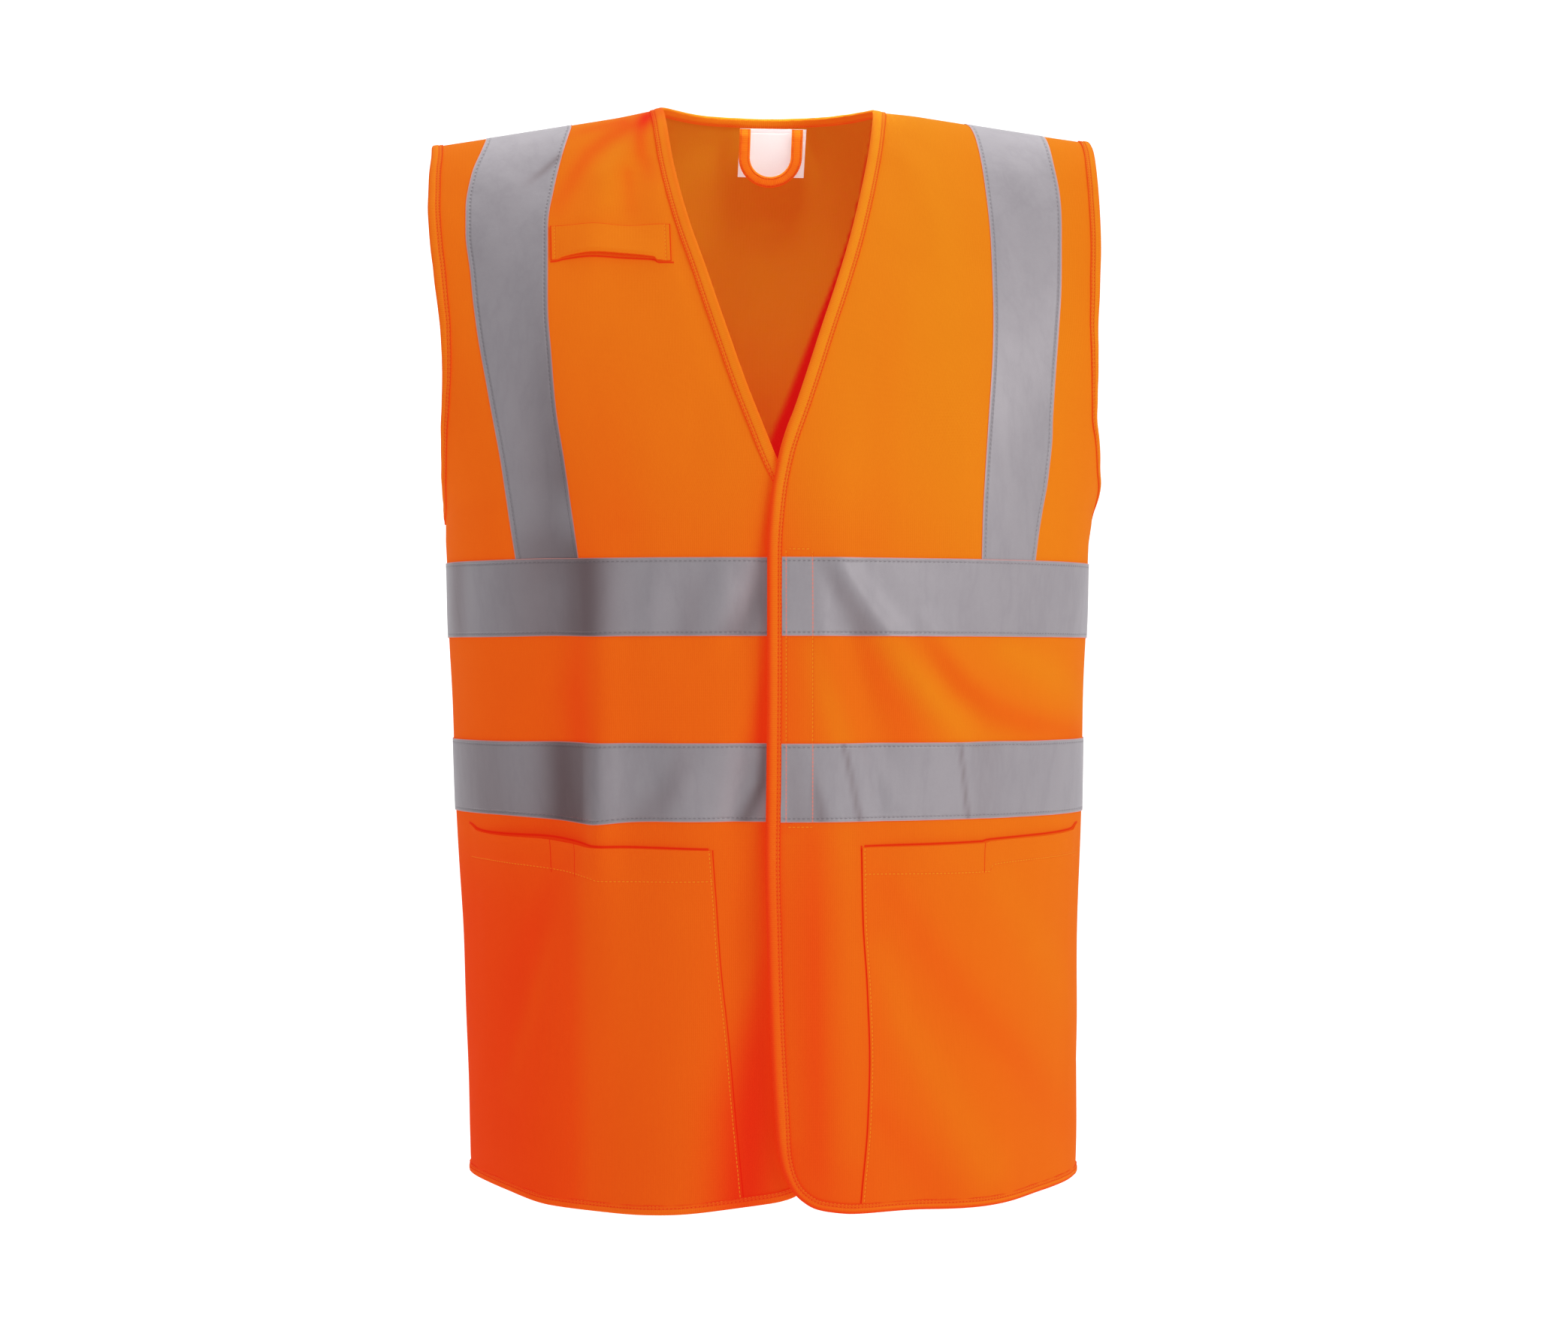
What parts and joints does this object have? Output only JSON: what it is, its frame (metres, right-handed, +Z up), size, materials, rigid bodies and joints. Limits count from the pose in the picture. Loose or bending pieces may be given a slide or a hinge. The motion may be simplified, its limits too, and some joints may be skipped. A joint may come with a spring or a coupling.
{
  "type": "high-visibility vest",
  "caption": "Sleeveless high-visibility vest with a V neck, reflective waist and brace tapes, bound edges, hook-and-loop front, pockets, chest strap and neck loop.",
  "frame": {"origin": "on the vertical line through the middle of the shoulder line, at the level of the hem", "axes": "+Z up, the front of the vest faces -Y, +X is the wearer's left"},
  "size_m": [0.4503, 0.3163, 0.7391],
  "materials": {
    "orange_fabric": "fluorescent orange polyester knit, fine vertical rib",
    "binding": "fluorescent orange ribbed binding, twin stitched",
    "reflective_tape": "silver-grey glass-bead reflective tape on a woven backing",
    "hook_and_loop": "orange nylon hook and loop",
    "label": "plain white satin, blank"
  },
  "bodies": {
    "shell": {"back_panel": "orange_fabric", "left_front_side_panel": "orange_fabric", "right_front_side_panel": "orange_fabric", "left_neck_binding": "binding", "right_neck_binding": "binding", "back_neck_binding": "binding", "left_armhole_binding": "binding", "right_armhole_binding": "binding", "hem_binding": "binding", "upper_waist_tape": "reflective_tape", "lower_waist_tape": "reflective_tape", "left_brace_tape": "reflective_tape", "right_brace_tape": "reflective_tape", "left_pocket_side": "orange_fabric", "right_pocket_side": "orange_fabric", "chest_strap": "orange_fabric", "left_side_seam": "orange_fabric", "right_side_seam": "orange_fabric", "left_shoulder_seam": "orange_fabric", "right_shoulder_seam": "orange_fabric"},
    "left_front": {"left_front_panel": "orange_fabric", "left_front_binding": "binding", "left_front_upper_tape": "reflective_tape", "left_front_lower_tape": "reflective_tape", "left_front_pocket": "orange_fabric", "hook_strip": "hook_and_loop"},
    "right_front": {"right_front_panel": "orange_fabric", "right_front_binding": "binding", "right_front_upper_tape": "reflective_tape", "right_front_lower_tape": "reflective_tape", "right_front_pocket": "orange_fabric", "loop_strip": "hook_and_loop"},
    "hang_loop": {"hang_loop": "binding"},
    "neck_label": {"neck_label": "label"}
  },
  "joints": [
    {"name": "left_front_open", "type": "hinge", "parent": "shell", "child": "left_front", "pos_m": [0.18, -0.08, 0], "axis": [-0.1295, 0.0273, 0.9912], "range_deg": [0, 60]},
    {"name": "right_front_open", "type": "hinge", "parent": "shell", "child": "right_front", "pos_m": [-0.18, -0.08, 0], "axis": [-0.1295, -0.0273, -0.9912], "range_deg": [0, 42]},
    {"name": "hang_loop_flip", "type": "hinge", "parent": "shell", "child": "hang_loop", "pos_m": [0, 0.0582, 0.725], "axis": [-1, 0, 0], "range_deg": [0, 165]},
    {"name": "label_flip", "type": "hinge", "parent": "shell", "child": "neck_label", "pos_m": [0, 0.0591, 0.7242], "axis": [-1, 0, 0], "range_deg": [0, 148.5]}
  ],
  "couplings": [
    {"joint": "right_front_open", "follows": "left_front_open", "ratio": 0.7},
    {"joint": "label_flip", "follows": "hang_loop_flip", "ratio": 0.9}
  ]
}
